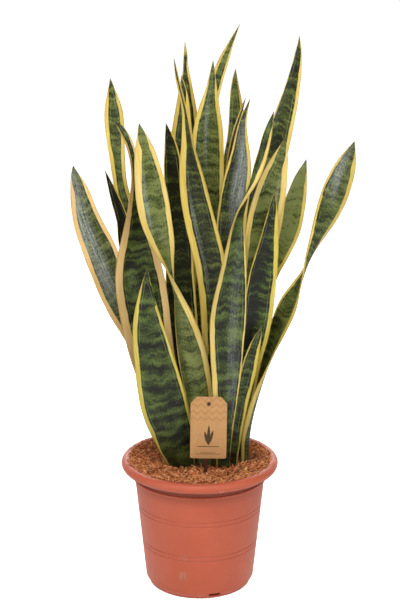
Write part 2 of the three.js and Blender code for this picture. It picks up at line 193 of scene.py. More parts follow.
def copy_of(node, name):
    """A copy of a CAD node with its loose triangles merged."""
    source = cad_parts[node]
    piece = bpy.data.objects.new(name, source.data.copy())
    bpy.context.scene.collection.objects.link(piece)
    piece.data.materials.clear()
    only(piece)
    bpy.ops.object.mode_set(mode="EDIT")
    bpy.ops.mesh.select_all(action="SELECT")
    bpy.ops.mesh.remove_doubles(threshold=0.01 * MM)
    bpy.ops.object.mode_set(mode="OBJECT")
    return piece


def finish_piece(piece, material, slot, *nodes, angle):
    """Gives a piece its material, smooth shading and its place on the body."""
    piece.data.materials.clear()
    piece.data.materials.append(material)
    only(piece)
    bpy.ops.object.shade_smooth_by_angle(angle=math.radians(angle))
    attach(piece, "root")
    if nodes:
        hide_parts(*nodes)


def points_of(piece):
    """A piece's vertices as rows of x, y, z."""
    flat = np.zeros(len(piece.data.vertices) * 3)
    piece.data.vertices.foreach_get("co", flat)
    return flat.reshape(-1, 3)


def set_points(piece, points):
    """Moves a piece's vertices to these rows of x, y, z."""
    piece.data.vertices.foreach_set("co", points.ravel())
    piece.data.update()


def set_attribute(piece, name, values):
    """Stores a number or a vector on each vertex for the materials to read."""
    kind, key = ("FLOAT", "value") if values.ndim == 1 else ("FLOAT_VECTOR", "vector")
    attribute = piece.data.attributes.new(name, kind, "POINT")
    attribute.data.foreach_set(key, values.astype(np.float32).ravel())


def turn_profile(name, profile, segments):
    """Turns a profile of (radius, height) into a closed solid, by extruding and scaling a ring."""
    (radius, height), *rest = profile
    bpy.ops.object.select_all(action="DESELECT")
    bpy.ops.mesh.primitive_circle_add(
        vertices=segments, radius=radius, fill_type="NGON", location=(0, 0, height))
    piece = bpy.context.object
    piece.name = name
    bpy.ops.object.transform_apply(location=True, rotation=True, scale=True)
    bpy.ops.object.mode_set(mode="EDIT")
    bpy.ops.mesh.select_mode(type="EDGE")
    bpy.ops.mesh.select_all(action="SELECT")
    for next_radius, next_height in rest:
        bpy.ops.mesh.extrude_edges_move(
            TRANSFORM_OT_translate={"value": (0, 0, next_height - height)})
        share = next_radius / radius
        bpy.ops.transform.resize(
            value=(share, share, 1), center_override=(0, 0, next_height))
        radius, height = next_radius, next_height
    bpy.ops.mesh.edge_face_add()
    bpy.ops.mesh.select_all(action="SELECT")
    bpy.ops.mesh.normals_make_consistent(inside=False)
    if bmesh.from_edit_mesh(piece.data).calc_volume(signed=True) < 0:
        bpy.ops.mesh.flip_normals()
    bpy.ops.object.mode_set(mode="OBJECT")
    return piece


def arc(middle, radius, start, end, steps):
    """Points of an arc in a profile, with angles in degrees from straight outwards."""
    angles = np.radians(np.linspace(start, end, steps + 1))
    return [(middle[0] + radius * math.cos(a), middle[1] + radius * math.sin(a)) for a in angles]


# ---- leaves ----

BLADE_COLUMNS = 5        # points across each side of a CAD blade's section
BURIED = 22              # mm of each blade below the soil
FOOT_SHADE_END = 120     # mm from the foot at which the darker foot ends
MARGIN_FADE_TIP = (5, 28)    # mm from the tip at which the margins start, and over which they widen


def blade_rings(bm):
    """The blade's tip and its rings of vertices, tip to foot, each in the same order round."""
    tip = max(bm.verts, key=lambda vert: len(vert.link_edges))
    after = {}
    for face in tip.link_faces:
        loop = next(loop for loop in face.loops if loop.vert is tip).link_loop_next
        after[loop.vert] = loop.link_loop_next.vert
    ring = [next(iter(after))]
    while after[ring[-1]] is not ring[0]:
        ring.append(after[ring[-1]])
    seen = {tip, *ring}
    rings = [ring]
    while True:
        below = [{edge.other_vert(vert) for edge in vert.link_edges} - seen for vert in ring]
        if not any(below):
            return tip, rings
        ring = [
            next(iter(near & below[(index + 1) % len(ring)]))
            for index, near in enumerate(below)
        ]
        seen.update(ring)
        rings.append(ring)


def face_hollow_first(rings):
    """Starts every ring at one margin of the hollow side."""
    size = 2 * BLADE_COLUMNS
    middle = BLADE_COLUMNS // 2
    steps = [
        sum((ring[index].co - ring[(index + 1) % size].co).length for ring in rings)
        for index in range(size)
    ]
    thinnest = min(range(BLADE_COLUMNS), key=lambda i: steps[i] + steps[i + BLADE_COLUMNS])
    start = thinnest + 1
    turned = [[ring[(start + index) % size] for index in range(size)] for ring in rings]
    forward = 0
    for ring in turned:
        hollow = ring[middle].co
        back = ring[middle + BLADE_COLUMNS].co
        margins = (ring[0].co + ring[BLADE_COLUMNS].co) / 2
        forward += (margins - (hollow + back) / 2).dot(hollow - back)
    if forward > 0:
        return turned
    return [ring[BLADE_COLUMNS:] + ring[:BLADE_COLUMNS] for ring in turned]


def blade_piece(node):
    """A leaf's blade: the CAD blade as clean quads, with its margins creased, then subdivided.

    It returns the piece with rows of across, along and side, half width and length, all in mm.
    """
    piece = copy_of(node, node.replace("leaf_", "blade_"))
    only(piece)
    bpy.ops.object.mode_set(mode="EDIT")
    bpy.ops.mesh.select_mode(type="EDGE")
    bpy.ops.mesh.select_all(action="DESELECT")
    bm = bmesh.from_edit_mesh(piece.data)
    place = bm.verts.layers.float_vector.new("blade_place")
    half_width = bm.verts.layers.float.new("half_width")
    crease = bm.edges.layers.float.new("crease_edge")
    tip, rings = blade_rings(bm)
    rings = face_hollow_first(rings)
    size = 2 * BLADE_COLUMNS
    shares = [2 * column / (BLADE_COLUMNS - 1) - 1 for column in range(BLADE_COLUMNS)]
    across = shares + shares[::-1]
    side = [0] * BLADE_COLUMNS + [1] * BLADE_COLUMNS
    middles = [(ring[BLADE_COLUMNS // 2].co + ring[-1 - BLADE_COLUMNS // 2].co) / 2 for ring in rings]
    run = [(a - b).length for a, b in zip([tip.co, *middles], middles)]
    length = sum(run) / MM
    along = length
    tip[place] = (0, along, 0)
    for ring, step in zip(rings, run):
        along -= step / MM
        half = (ring[0].co - ring[BLADE_COLUMNS - 1].co).length / 2 / MM
        for vert, u, back in zip(ring, across, side):
            vert[place] = (u * half, along, back)
            vert[half_width] = half
    margins = (0, BLADE_COLUMNS - 1, BLADE_COLUMNS, size - 1)
    for upper, lower in zip([[tip] * size, *rings], rings):
        for index in margins:
            bm.edges.get((upper[index], lower[index]))[crease] = 1.0
        if upper[0] is not tip:
            for index in range(size):
                bm.edges.get((upper[index], lower[index - 1])).select_set(True)
    bmesh.update_edit_mesh(piece.data)
    bpy.ops.mesh.dissolve_edges(use_verts=False)
    bpy.ops.object.mode_set(mode="OBJECT")
    use_modifier(piece, "SUBSURF", levels=3, render_levels=3)
    count = len(piece.data.vertices)
    places = np.zeros(count * 3)
    piece.data.attributes["blade_place"].data.foreach_get("vector", places)
    halves = np.zeros(count)
    piece.data.attributes["half_width"].data.foreach_get("value", halves)
    return piece, places.reshape(-1, 3), halves, length


LEAF_NOISES = {
    # 1/mm across, along and between the blade's two sides, then detail and roughness
    "files": ((0.9, 0.09, 9), 3, 0.65),
    "sway": ((0.085, 0.02, 9), 1, 0.5),
    "flecks": ((0.62, 0.34, 9), 3, 0.75),
    "blotches": ((0.075, 0.04, 9), 2, 0.5),
    "margin": ((0.05, 0.035, 9), 2, 0.5),
    "streaks": ((1.6, 0.018, 9), 2, 0.6),
    "shine": ((0.5, 0.022, 9), 3, 0.6),
    "pores": ((2.2, 0.9, 9), 2, 0.5),
}


def painted_highlight(tree, skin, apart, noises, middle, half, strength):
    """A painted highlight: a pale grey patch on the leaf, streaked along it and soft at its border."""
    patch = strength
    for axis in (0, 1):
        off = add(tree, "ShaderNodeMath", {0: apart.outputs[axis], 1: middle[axis]},
                  operation="SUBTRACT")
        far = add(tree, "ShaderNodeMath", {0: off}, operation="ABSOLUTE")
        soft = add(tree, "ShaderNodeMapRange", {
            "Value": far, "From Min": half[axis] * 1.5, "From Max": half[axis] * 0.2,
        }, interpolation_type="SMOOTHSTEP")
        patch = add(tree, "ShaderNodeMath", {0: soft, 1: patch}, operation="MULTIPLY")
    streak_noise = add(tree, "ShaderNodeMath", {0: noises["shine"], 1: noises["flecks"]})
    streaky = add(tree, "ShaderNodeMapRange", {
        "Value": streak_noise, "From Min": 0.78, "From Max": 1.25, "To Min": 0.0, "To Max": 1.0})
    highlight_mask = add(tree, "ShaderNodeMath", {0: streaky, 1: patch}, operation="MULTIPLY")
    # mixed towards the pale grey of the painted highlight
    return add(tree, "ShaderNodeMixRGB", {
        "Fac": highlight_mask, "Color1": skin, "Color2": colour("#c6cccb")})


def leaf_material(name, look, seed):
    """Snake plant leaf: a smooth, waxy skin over firm flesh, banded across its files of cells.

    The dark bands break into teeth along the leaf because each file of cells, about a
    millimetre wide, darkens at its own height. The skin's roughness gives a soft, streaky satin sheen;
    some leaves also carry pale painted highlights, and painted shade darkens each foot and one leaf's
    hollow fold.
    """
    material, tree, shader = new_material(name)
    place = add(tree, "ShaderNodeAttribute", attribute_name="blade_place")
    rim = add(tree, "ShaderNodeAttribute", attribute_name="blade_rim")
    apart = add(tree, "ShaderNodeSeparateXYZ", {0: place.outputs["Vector"]})
    inside, to_tip, edge = add(tree, "ShaderNodeSeparateXYZ", {0: rim.outputs["Vector"]}).outputs
    shifted = add(tree, "ShaderNodeVectorMath", {
        0: place.outputs["Vector"], 1: (seed * 37.0, seed * 113.0, seed * 7.0),
    }, operation="ADD")
    noises = {}
    for key, (scale, detail, roughness) in LEAF_NOISES.items():
        stretched = add(tree, "ShaderNodeVectorMath", {0: shifted, 1: scale}, operation="MULTIPLY")
        noises[key] = add(tree, "ShaderNodeTexNoise", {
            "Vector": stretched, "Scale": 1.0, "Detail": detail, "Roughness": roughness,
        })

    # the height of each point, moved by its file of cells and by the sway of the bands
    teeth = add(tree, "ShaderNodeMath", {0: noises["files"], 1: look["teeth"], 2: apart.outputs["Y"]},
                operation="MULTIPLY_ADD")
    swayed = add(tree, "ShaderNodeMath", {0: noises["sway"], 1: look["sway"], 2: teeth},
                 operation="MULTIPLY_ADD")
    height = add(tree, "ShaderNodeMath", {0: swayed, 1: look["band"]}, operation="DIVIDE")
    across = add(tree, "ShaderNodeMath", {0: apart.outputs["X"], 1: 0.022}, operation="MULTIPLY")
    banding = add(tree, "ShaderNodeCombineXYZ", {"X": across, "Y": height, "Z": seed * 3.7})
    bands = add(tree, "ShaderNodeTexNoise", {
        "Vector": banding, "Scale": 1.0, "Detail": 2.5, "Roughness": 0.6})
    weights = ((bands, 0.6 * look["contrast"]), (noises["flecks"], 0.5), (noises["blotches"], 0.22))
    level = look["level"] + 0.5 - 0.5 * sum(weight for _, weight in weights)
    for noise, weight in weights:
        level = add(tree, "ShaderNodeMath", {0: noise, 1: weight, 2: level},
                    operation="MULTIPLY_ADD")
    if look["fold_shade"]:
        # painted shade down the hollow side of the fold
        off = add(tree, "ShaderNodeMapRange", {
            "Value": apart.outputs["X"], "From Min": 7, "From Max": -5, "To Max": -0.14})
        level = add(tree, "ShaderNodeMath", {0: off, 1: look["fold_shade"], 2: level},
                    operation="MULTIPLY_ADD")
    green = add(tree, "ShaderNodeValToRGB", {"Fac": level}, stops=[
        (0.40, look["dark"]), (0.46, look["mid"]), (0.53, look["green"]),
        (0.64, look["light"]),
    ])

    # fine pale lines that run beside the margin
    line = add(tree, "ShaderNodeValToRGB", {
        "Fac": add(tree, "ShaderNodeMath", {0: inside, 1: 0.1}, operation="MULTIPLY"),
    }, stops=[(0.24, 0.0), (0.27, 1.0), (0.31, 1.0), (0.34, 0.0)])
    broken = add(tree, "ShaderNodeValToRGB", {"Fac": noises["margin"]},
                 stops=[(0.42, 0.0), (0.6, 0.4)])
    lined = add(tree, "ShaderNodeMixRGB", {
        "Fac": add(tree, "ShaderNodeMath", {0: line, 1: broken}, operation="MULTIPLY"),
        "Color1": green, "Color2": colour("#98a377"),
    })

    # pale painted highlights on some leaves
    if "highlight_patch" in look:
        lined = painted_highlight(tree, lined, apart, noises, *look["highlight_patch"])

    # the margin, with a wandering edge and faint streaks
    wander = add(tree, "ShaderNodeMath", {0: noises["margin"], 1: 3.0, 2: inside},
                 operation="MULTIPLY_ADD")
    frayed = add(tree, "ShaderNodeMath", {0: noises["files"], 1: 1.2, 2: wander},
                 operation="MULTIPLY_ADD")
    is_green = add(tree, "ShaderNodeMapRange", {
        "Value": frayed, "From Min": 1.7, "From Max": 2.6}, interpolation_type="SMOOTHSTEP")
    yellow = add(tree, "ShaderNodeValToRGB", {"Fac": noises["streaks"]}, stops=[
        (0.3, look["margin_dark"]), (0.5, look["margin"]), (0.72, look["margin_pale"]),
    ])
    old = add(tree, "ShaderNodeValToRGB", {
        "Fac": add(tree, "ShaderNodeMath", {0: edge, 1: 0.1}, operation="MULTIPLY"),
    }, stops=[(0.02, 0.55), (0.10, 0.0)])
    edged = add(tree, "ShaderNodeMixRGB", {
        "Fac": old, "Color1": yellow, "Color2": colour(look["margin_edge"])})
    coloured = add(tree, "ShaderNodeMixRGB", {"Fac": is_green, "Color1": edged, "Color2": lined})

    # the tip dries to a grey-brown point, and the foot, down among the other leaves, is darkened with
    # painted shade
    dry = add(tree, "ShaderNodeMapRange", {
        "Value": add(tree, "ShaderNodeMath", {0: noises["flecks"], 1: 8.0, 2: to_tip},
                     operation="MULTIPLY_ADD"),
        "From Min": look["dry"] + 8, "From Max": look["dry"] + 1,
    })
    tipped = add(tree, "ShaderNodeMixRGB", {
        "Fac": dry, "Color1": coloured, "Color2": colour(look["tip"])})
    foot = add(tree, "ShaderNodeMapRange", {
        "Value": apart.outputs["Y"], "From Min": BURIED, "From Max": FOOT_SHADE_END, "To Min": 0.42,
        "To Max": 1.0})
    finished = add(tree, "ShaderNodeMixRGB", {
        "Fac": 1.0, "Color1": tipped, "Color2": foot}, blend_type="MULTIPLY")
    tree.links.new(finished.outputs[0], shader.inputs["Base Color"])

    shader.inputs["IOR"].default_value = 1.45
    shader.inputs["Specular IOR Level"].default_value = look["gloss"]
    sheen = add(tree, "ShaderNodeMapRange", {
        "Value": noises["streaks"], "From Min": 0.3, "From Max": 0.7, "To Min": 0.3, "To Max": 0.5})
    tree.links.new(sheen.outputs[0], shader.inputs["Roughness"])
    ridges = add(tree, "ShaderNodeBump", {
        "Height": noises["streaks"], "Strength": 0.35, "Distance": 0.25 * MM})
    skin = add(tree, "ShaderNodeBump", {
        "Height": noises["pores"], "Strength": 0.25, "Distance": 0.12 * MM, "Normal": ridges})
    tree.links.new(skin.outputs[0], shader.inputs["Normal"])
    return material


USUAL_LOOK = {
    "margins": (6, 6),       # mm wide at the two margins, in the order of the rings
    "teeth": 7, "sway": 15, "band": 6.5, "level": 0.0, "dry": 3, "tip": "#4d4a34",
    "contrast": 1.0, "fold_shade": 0.0, "gloss": 0.42,
    "dark": "#1b1d0e", "mid": "#2d3317", "green": "#495322", "light": "#788045",
    "margin": "#e6c95e", "margin_dark": "#d2b046", "margin_pale": "#f3e294",
    "margin_edge": "#a8842f",
}
LUSH = {"dark": "#16190f", "mid": "#262d15", "green": "#3f4d20", "light": "#607035",
        "contrast": 1.3, "margin": "#d5c050", "margin_dark": "#bba43a", "margin_pale": "#e6d780"}
# tan margins, made lighter than their own colour as painted light where they lie in the shade of the
# leaves in front
TAN_WITH_PAINTED_LIGHT = {"margin": "#f2cb86", "margin_dark": "#e4b46a", "margin_pale": "#f8deaa"}
CREAM = {"margin": "#e9cc70", "margin_dark": "#d4b049", "margin_pale": "#f5e5aa"}
# a painted highlight is given by its middle across and along, its half size and its strength, in mm
LEAF_LOOKS = {
    "leaf_left_low": {**TAN_WITH_PAINTED_LIGHT, "margins": (6, 5), "level": 0.02,
                      "highlight_patch": ((-6, 345), (10, 110), 0.7)},
    "leaf_left_tall": {"margins": (4.5, 5), "level": 0.02},
    # this leaf is darkened nearly to black with painted shade
    "leaf_left_dark": {"margins": (0.5, 1.5), "level": -0.25, "dark": "#14150a", "gloss": 0.12},
    "leaf_left_broad": {**LUSH, **TAN_WITH_PAINTED_LIGHT, "margins": (11, 8), "band": 9},
    "leaf_left_front": {**LUSH, "margins": (3.5, 6), "band": 10, "teeth": 9, "torn": (22, 50)},
    "leaf_twisted_left": {**CREAM, "margins": (6, 1.5), "upper": (9, 5.5), "level": 0.09,
                          "highlight_patch": ((-8, 400), (3, 45), 0.4)},
    # this leaf is darkened a little with painted shade
    "leaf_middle_dark": {"margins": (0.8, 2.5), "level": -0.08, "gloss": 0.2},
    "leaf_middle": {"margins": (7.5, 5), "level": -0.04, "highlight_patch": ((-8, 340), (2.5, 80), 0.3)},
    "leaf_back_yellow_tip": {"margins": (0.8, 4.5), "level": -0.02, "dry": 16,
                             "tip": "#b5a64e"},
    "leaf_back_left": {"margins": (6, 5), "level": -0.03},
    "leaf_middle_tall": {"margins": (5, 5.5), "level": 0.05, "highlight_patch": ((-3, 470), (3, 50), 0.3)},
    "leaf_twisted_right": {**LUSH, **CREAM, "margins": (6.5, 1.5), "band": 10, "teeth": 10,
                           "highlight_patch": ((8, 190), (7, 130), 0.22)},
    "leaf_right": {**CREAM, "margins": (6.5, 7), "level": 0.09,
                   "highlight_patch": ((8, 390), (3, 35), 0.4)},
    # the inner side of this leaf's V-shaped hollow gets painted shade
    "leaf_right_hollow": {**LUSH, "margins": (1.5, 5), "level": -0.01, "fold_shade": 0.7},
    "leaf_middle_shiny": {"margins": (2.5, 4.5), "level": -0.03,
                          "highlight_patch": ((3, 410), (9, 75), 0.65)},
    "leaf_right_low": {"margins": (1, 4), "level": 0.14},
    "leaf_right_short": {**LUSH, "margins": (2, 3.5)},
    "leaf_far_right": {"margins": (1, 6.5), "upper": (7, 2), "level": 0.03,
                       "highlight_patch": ((7, 440), (7, 40), 0.5)},
    "leaf_back_right": {"margins": (1, 4.5), "level": -0.02},
    "leaf_back_tall": {"margins": (4.5, 3), "level": 0.04},
    "leaf_back_grey": {"margins": (0.8, 4), "level": 0.08},
    # this edge-on leaf is darkened to a deep brown with painted shade
    "leaf_back_thin": {"margins": (2, 2), "level": -0.2, "dark": "#1d130b", "mid": "#2a1c10"},
}


def grow_leaf(node, seed):
    """One leaf: its blade with softly rippled margins, and the places that its skin follows."""
    look = {**USUAL_LOOK, **LEAF_LOOKS[node]}
    piece, places, halves, length = blade_piece(node)
    across, along, side = places.T
    share = np.divide(across, halves, out=np.zeros_like(across), where=halves > 0.01)
    edge = np.maximum(halves - np.abs(across), 0)
    normals = np.zeros(len(across) * 3)
    piece.data.vertex_normals.foreach_get("vector", normals)
    forward = normals.reshape(-1, 3) * (1 - 2 * side)[:, None]
    wave = np.sin(along / 13 + 2.4 * seed + 1.3 * np.sign(share))
    calm = np.clip((along - 2 * BURIED) / 60, 0, 1) * np.clip((length - along) / 40, 0, 1)
    ripple = 0.35 * MM * wave * np.abs(share) ** 4 * calm * (np.abs(side - 0.5) > 0.49)
    set_points(piece, points_of(piece) + forward * ripple[:, None])
    turned = np.clip((along / length - 0.5) / 0.15, 0, 1)[:, None]
    lower, upper = np.array(look["margins"]), np.array(look.get("upper", look["margins"]))
    left, right = (lower * (1 - turned) + upper * turned).T
    margin = np.where(across < 0, left, right)
    fade = np.clip(halves / (0.62 * halves.max()), 0.25, 1)
    fade *= np.clip((length - along - MARGIN_FADE_TIP[0]) / MARGIN_FADE_TIP[1], 0, 1)
    fade *= np.clip((along - BURIED) / 60, 0.5, 1)
    if "torn" in look:
        # one margin is torn away for a stretch, given in mm below the tip
        low, high = look["torn"]
        margin[(across < 0) & (length - along > low) & (length - along < high)] = 0.2
    inside = edge - margin * fade
    set_attribute(piece, "blade_rim", np.stack([inside, length - along, edge], axis=1))
    material = leaf_material(node.replace("leaf_", "leaf_skin_"), look, seed)
    finish_piece(piece, material, "leaf", node, angle=50)


# ---- pot ----

POT_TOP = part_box("pot")[1].z
RIM_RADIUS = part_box("pot")[1].x
BEAD = 6.5 * MM                     # radius of the rolled rim's section
BEAD_MIDDLE = (RIM_RADIUS - BEAD, POT_TOP - BEAD)
COLLAR_RADIUS = 90.6 * MM
COLLAR_TOP = BEAD_MIDDLE[1] - BEAD - 4 * MM
COLLAR_FOOT = COLLAR_TOP - 8 * MM
WALL_TOP_RADIUS = 87.4 * MM
WALL_FOOT_RADIUS = 73.2 * MM
FOOT_RADIUS = 69 * MM
FOOT_RISE = 9 * MM
WALL = 2.2 * MM
FLOOR = 2.6 * MM
NECK_RADIUS = 87.0 * MM             # between the rolled rim and the collar's ledge
GROOVES = (57.5 * MM, 63.8 * MM, 108.2 * MM, 114.4 * MM)
GROOVE_DEPTH = 0.45 * MM
SLOT = (12 * MM, 16 * MM, 4.4 * MM)
SLOT_MIDDLE = 6.2 * MM              # height of a drain slot's middle
NOTCH = 1.6 * MM                    # height of the small notches all round the foot
POT_SEGMENTS = 144
SLOT_TURN = 16                      # degrees from the front to the nearest drain slot

# painted shade on the wall, by share of the pot's height: a soft band rising to the collar's ledge,
# none on the ledge, and most in the neck under the rolled rim
RIM_SHADE_STOPS = ((0.78, 0.0), (0.853, 0.32), (0.856, 0.0), (0.868, 0.0), (0.874, 0.7), (0.925, 0.7),
         (0.94, 0.0))
# middle, reach and tint of each patch: two rubbed scuffs low on the front wall, then two painted
# highlights, on the collar's ledge and on the rolled rim
RUBS_AND_HIGHLIGHTS = (
    ((-0.0235, -0.077, 0.062), 0.009, "#b07a66"),
    ((-0.0205, -0.073, 0.034), 0.010, "#b88468"),
    # these two are painted highlights, on the collar's ledge and on the rolled rim
    ((0.011, -0.0895, 0.151), 0.004, "#e3a88f"),
    ((0.0285, -0.098, 0.164), 0.006, "#dda083"),
)


def wall_radius(height):
    """Outer radius of the pot's tapered wall at a height."""
    share = (height - FOOT_RISE) / (COLLAR_FOOT - FOOT_RISE)
    return WALL_FOOT_RADIUS + (WALL_TOP_RADIUS - WALL_FOOT_RADIUS) * share


def pot_profile():
    """Up the outside, over the rolled rim and down the inside, as (radius, height)."""
    profile = [(FOOT_RADIUS - 3.2 * MM, 1.2 * MM), (FOOT_RADIUS - 2.6 * MM, 0.2 * MM),
               (FOOT_RADIUS - 2.2 * MM, 0), (FOOT_RADIUS - 1.4 * MM, 0)]
    profile += arc((FOOT_RADIUS - 1.4 * MM, 1.4 * MM), 1.4 * MM, -70, 0, 3)
    profile += [(FOOT_RADIUS + 0.9 * MM, 3.4 * MM), (FOOT_RADIUS + 2.4 * MM, 5.6 * MM),
                (FOOT_RADIUS + 3.6 * MM, 7.6 * MM), (wall_radius(FOOT_RISE), FOOT_RISE)]
    for height in GROOVES:
        for rise, cut in ((-0.8, 0), (-0.3, 1), (0.3, 1), (0.8, 0)):
            level = height + rise * MM
            profile.append((wall_radius(level) - cut * GROOVE_DEPTH, level))
    profile += [(wall_radius(COLLAR_FOOT - 2 * MM), COLLAR_FOOT - 2 * MM),
                (WALL_TOP_RADIUS, COLLAR_FOOT - 0.6 * MM)]
    profile += arc((COLLAR_RADIUS - 1.5 * MM, COLLAR_FOOT + 0.9 * MM), 1.5 * MM, -75, 75, 7)
    profile += [(NECK_RADIUS + 0.5 * MM, COLLAR_FOOT + 3.2 * MM), (NECK_RADIUS, COLLAR_FOOT + 4 * MM),
                (NECK_RADIUS, COLLAR_TOP), (NECK_RADIUS + 0.8 * MM, COLLAR_TOP + 1.6 * MM),
                (NECK_RADIUS + 3 * MM, COLLAR_TOP + 3.2 * MM)]
    profile += arc(BEAD_MIDDLE, BEAD, -105, 180, 26)
    inner = BEAD_MIDDLE[0] - BEAD
    profile += [(inner, BEAD_MIDDLE[1] - 3 * MM), (COLLAR_RADIUS - WALL, COLLAR_TOP),
                (COLLAR_RADIUS - WALL, COLLAR_FOOT), (WALL_TOP_RADIUS - WALL, COLLAR_FOOT - 2 * MM),
                (wall_radius(FLOOR + FOOT_RISE) - WALL, FLOOR + FOOT_RISE),
                (FOOT_RADIUS - WALL, FLOOR + 1 * MM), (FOOT_RADIUS - 2 * WALL, FLOOR)]
    return profile


def make_pot():
    """The moulded nursery pot: rolled rim, collar ledge, grooves, notched foot and drain slots."""
    pot = turn_profile("nursery_pot", pot_profile(), POT_SEGMENTS)
    spots = points_of(pot)
    radius = np.hypot(spots[:, 0], spots[:, 1])
    step = np.round(np.arctan2(spots[:, 1], spots[:, 0]) / math.tau * POT_SEGMENTS)
    notched = (step % 2 == 0) & (spots[:, 2] < 1 * MM) & (radius > FOOT_RADIUS - 3 * MM)
    spots[notched, 2] += NOTCH
    set_points(pot, spots)
    for quarter in range(4):
        turn = math.radians(SLOT_TURN - 90 + 90 * quarter)
        bpy.ops.object.select_all(action="DESELECT")
        bpy.ops.mesh.primitive_cube_add(
            size=1,
            location=(FOOT_RADIUS * math.cos(turn), FOOT_RADIUS * math.sin(turn), SLOT_MIDDLE),
            rotation=(0, 0, turn), scale=SLOT)
        cutter = bpy.context.object
        use_modifier(cutter, "BEVEL", width=0.8 * MM, segments=2)
        use_modifier(pot, "BOOLEAN", operation="DIFFERENCE", object=cutter, solver="EXACT")
        bpy.data.objects.remove(cutter)
    finish_piece(pot, pot_material(), "pot_plastic", "pot", angle=35)


def pot_material():
    """Injection-moulded polypropylene, coloured like terracotta.

    The mould leaves a fine satin grain; handling leaves faint scuffs and a little coir dust. Painted
    shade darkens the neck under the rolled rim, the wall below the collar's ledge and the grooves, and
    two small painted highlights lie on the ledge and the rim.
    """
    material, tree, shader = new_material("terracotta_polypropylene")
    place = add(tree, "ShaderNodeTexCoord").outputs["Object"]
    clouds = add(tree, "ShaderNodeTexNoise", {
        "Vector": place, "Scale": 14.0, "Detail": 3.0, "Roughness": 0.55})
    tone = add(tree, "ShaderNodeValToRGB", {"Fac": clouds}, stops=[
        (0.32, "#c1593b"), (0.5, "#c55c3e"), (0.68, "#c96042")])
    stretched = add(tree, "ShaderNodeMapping", {"Vector": place, "Scale": (900, 900, 90)})
    scuffs = add(tree, "ShaderNodeTexNoise", {
        "Vector": stretched, "Scale": 0.22, "Detail": 4.0, "Roughness": 0.7})
    scuffed = add(tree, "ShaderNodeValToRGB", {"Fac": scuffs}, stops=[(0.66, 0.0), (0.78, 0.35)])
    worn_and_shaded = add(tree, "ShaderNodeMixRGB", {
        "Fac": scuffed, "Color1": tone, "Color2": colour("#d08a76")})
    # the scuffs, and the painted highlights on the ledge and the rim, broken up by the scuff noise
    for spot, reach, tint in RUBS_AND_HIGHLIGHTS:
        off = add(tree, "ShaderNodeVectorMath", {0: place, 1: spot}, operation="DISTANCE")
        near = add(tree, "ShaderNodeMapRange", {
            "Value": off.outputs["Value"], "From Min": reach, "From Max": reach * 0.4,
            "To Max": 0.8})
        scuff_breakup = add(tree, "ShaderNodeMapRange", {
            "Value": scuffs, "From Min": 0.47, "From Max": 0.6})
        worn_and_shaded = add(tree, "ShaderNodeMixRGB", {
            "Fac": add(tree, "ShaderNodeMath", {0: near, 1: scuff_breakup}, operation="MULTIPLY"),
            "Color1": worn_and_shaded, "Color2": colour(tint)})
    height = add(tree, "ShaderNodeSeparateXYZ", {0: place}).outputs["Z"]
    painted_shade = add(tree, "ShaderNodeValToRGB", {
        "Fac": add(tree, "ShaderNodeMath", {0: height, 1: POT_TOP}, operation="DIVIDE"),
    }, stops=RIM_SHADE_STOPS)
    # painted shade along each groove
    for groove in GROOVES:
        off = add(tree, "ShaderNodeMath", {0: height, 1: groove}, operation="SUBTRACT")
        line = add(tree, "ShaderNodeMapRange", {
            "Value": add(tree, "ShaderNodeMath", {0: off}, operation="ABSOLUTE"),
            "From Min": 0.8 * MM, "From Max": 0.3 * MM, "To Max": 0.35})
        painted_shade = add(tree, "ShaderNodeMath", {0: painted_shade, 1: line}, operation="MAXIMUM")
    # the painted shade darkens the wall towards a deep red-brown
    worn_and_shaded = add(tree, "ShaderNodeMixRGB", {
        "Fac": painted_shade, "Color1": worn_and_shaded, "Color2": colour("#7a3322")})
    specks = add(tree, "ShaderNodeTexVoronoi", {"Vector": place, "Scale": 160.0})
    dusty = add(tree, "ShaderNodeValToRGB", {"Fac": specks.outputs["Distance"]},
                stops=[(0.035, 0.6), (0.06, 0.0)])
    finished = add(tree, "ShaderNodeMixRGB", {
        "Fac": dusty, "Color1": worn_and_shaded, "Color2": colour("#7c3c2b")})
    tree.links.new(finished.outputs[0], shader.inputs["Base Color"])
    gloss = add(tree, "ShaderNodeMapRange", {
        "Value": scuffs, "From Min": 0.3, "From Max": 0.75, "To Min": 0.4, "To Max": 0.58})
    tree.links.new(gloss.outputs[0], shader.inputs["Roughness"])
    shader.inputs["IOR"].default_value = 1.49
    shader.inputs["Sheen Weight"].default_value = 0.35
    shader.inputs["Sheen Roughness"].default_value = 0.4
    shader.inputs["Sheen Tint"].default_value = colour("#ffd9cc")
    grain = add(tree, "ShaderNodeTexNoise", {
        "Vector": place, "Scale": 1100.0, "Detail": 2.0, "Roughness": 0.5})
    moulded = add(tree, "ShaderNodeBump", {
        "Height": grain, "Strength": 0.25, "Distance": 0.08 * MM})
    tree.links.new(moulded.outputs[0], shader.inputs["Normal"])
    return material


# ---- coir soil ----

GAP = 0.3 * MM
SOIL_TOP = 168 * MM
SOIL_RISE = 5 * MM                  # how much higher it is heaped against the rim
CLUMP_RADIUS = 66 * MM
FIBRES = 5600
CRUMBS = 1500
HOLLOW = (0.070, 0.010, 0.168)      # middle of the darker patch behind the right leaves
SOIL_SEGMENTS = 180
SOIL_RING = 1.3 * MM                # between two rings of the soil's surface


